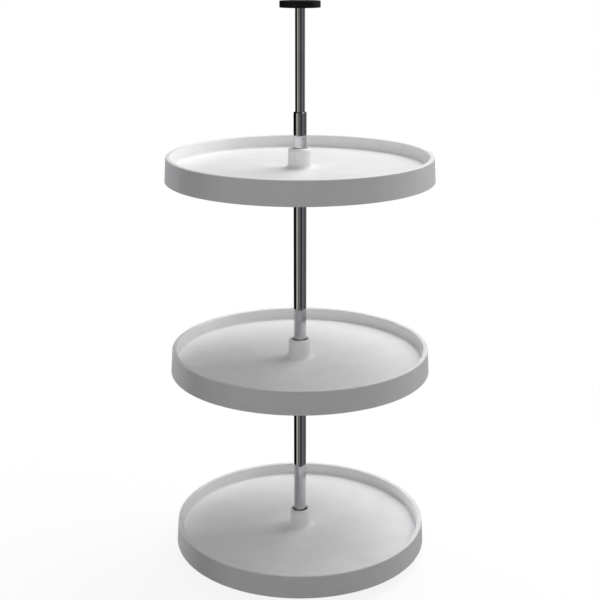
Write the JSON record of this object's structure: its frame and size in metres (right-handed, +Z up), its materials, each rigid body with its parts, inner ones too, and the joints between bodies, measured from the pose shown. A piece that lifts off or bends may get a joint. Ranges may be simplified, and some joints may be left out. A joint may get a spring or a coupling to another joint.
{
  "type": "rotating pantry shelf unit",
  "caption": "Full-circle rotating pantry unit: round white rimmed trays that each turn and adjust in height on a telescoping chrome pole held by flanges.",
  "frame": {"origin": "centre of the bottom flange's underside, on the pole's axis", "axes": "+Z up along the pole; -Y is the front, as in the picture; the set screws face +Y"},
  "size_m": [0.559, 0.559, 1.202],
  "materials": {
    "tray_polymer": "satin moulded white polymer",
    "chrome": "bright chrome-plated steel tube",
    "black_moulding": "fine-textured black moulded polymer",
    "black_nylon": "glass-filled black nylon",
    "acetal": "natural acetal, smooth",
    "zinc_steel": "zinc-plated steel"
  },
  "bodies": {
    "pole": {"bottom_flange": "black_moulding", "lower_tube": "chrome", "tube_guide_bush": "black_nylon", "tube_lock_screw": "zinc_steel"},
    "upper_mast": {"upper_tube": "chrome", "upper_tube_glide": "black_nylon", "top_flange": "black_moulding"},
    "bottom_support": {"bottom_collar": "black_nylon", "bottom_collar_screw": "zinc_steel", "bottom_thrust_washer": "acetal"},
    "bottom_shelf": {"bottom_tray": "tray_polymer", "bottom_hub_bush": "acetal"},
    "middle_support": {"middle_collar": "black_nylon", "middle_collar_screw": "zinc_steel", "middle_thrust_washer": "acetal"},
    "middle_shelf": {"middle_tray": "tray_polymer", "middle_hub_bush": "acetal"},
    "top_support": {"top_collar": "black_nylon", "top_collar_screw": "zinc_steel", "top_thrust_washer": "acetal"},
    "top_shelf": {"top_tray": "tray_polymer", "top_hub_bush": "acetal"}
  },
  "joints": [
    {"name": "pole_extension", "type": "slide", "parent": "pole", "child": "upper_mast", "axis": [0, 0, 1], "range_m": [-0.15, 0.15]},
    {"name": "bottom_height", "type": "slide", "parent": "pole", "child": "bottom_support", "axis": [0, 0, 1], "range_m": [0, 0.1]},
    {"name": "bottom_spin", "type": "hinge", "parent": "bottom_support", "child": "bottom_shelf", "pos_m": [0, 0, 0.031], "axis": [0, 0, 1], "continuous": true},
    {"name": "middle_height", "type": "slide", "parent": "pole", "child": "middle_support", "axis": [0, 0, 1], "range_m": [-0.1, 0.1]},
    {"name": "middle_spin", "type": "hinge", "parent": "middle_support", "child": "middle_shelf", "pos_m": [0, 0, 0.4384], "axis": [0, 0, 1], "continuous": true},
    {"name": "top_height", "type": "slide", "parent": "pole", "child": "top_support", "axis": [0, 0, 1], "range_m": [-0.1, 0.06]},
    {"name": "top_spin", "type": "hinge", "parent": "top_support", "child": "top_shelf", "pos_m": [0, 0, 0.8526], "axis": [0, 0, 1], "continuous": true}
  ]
}
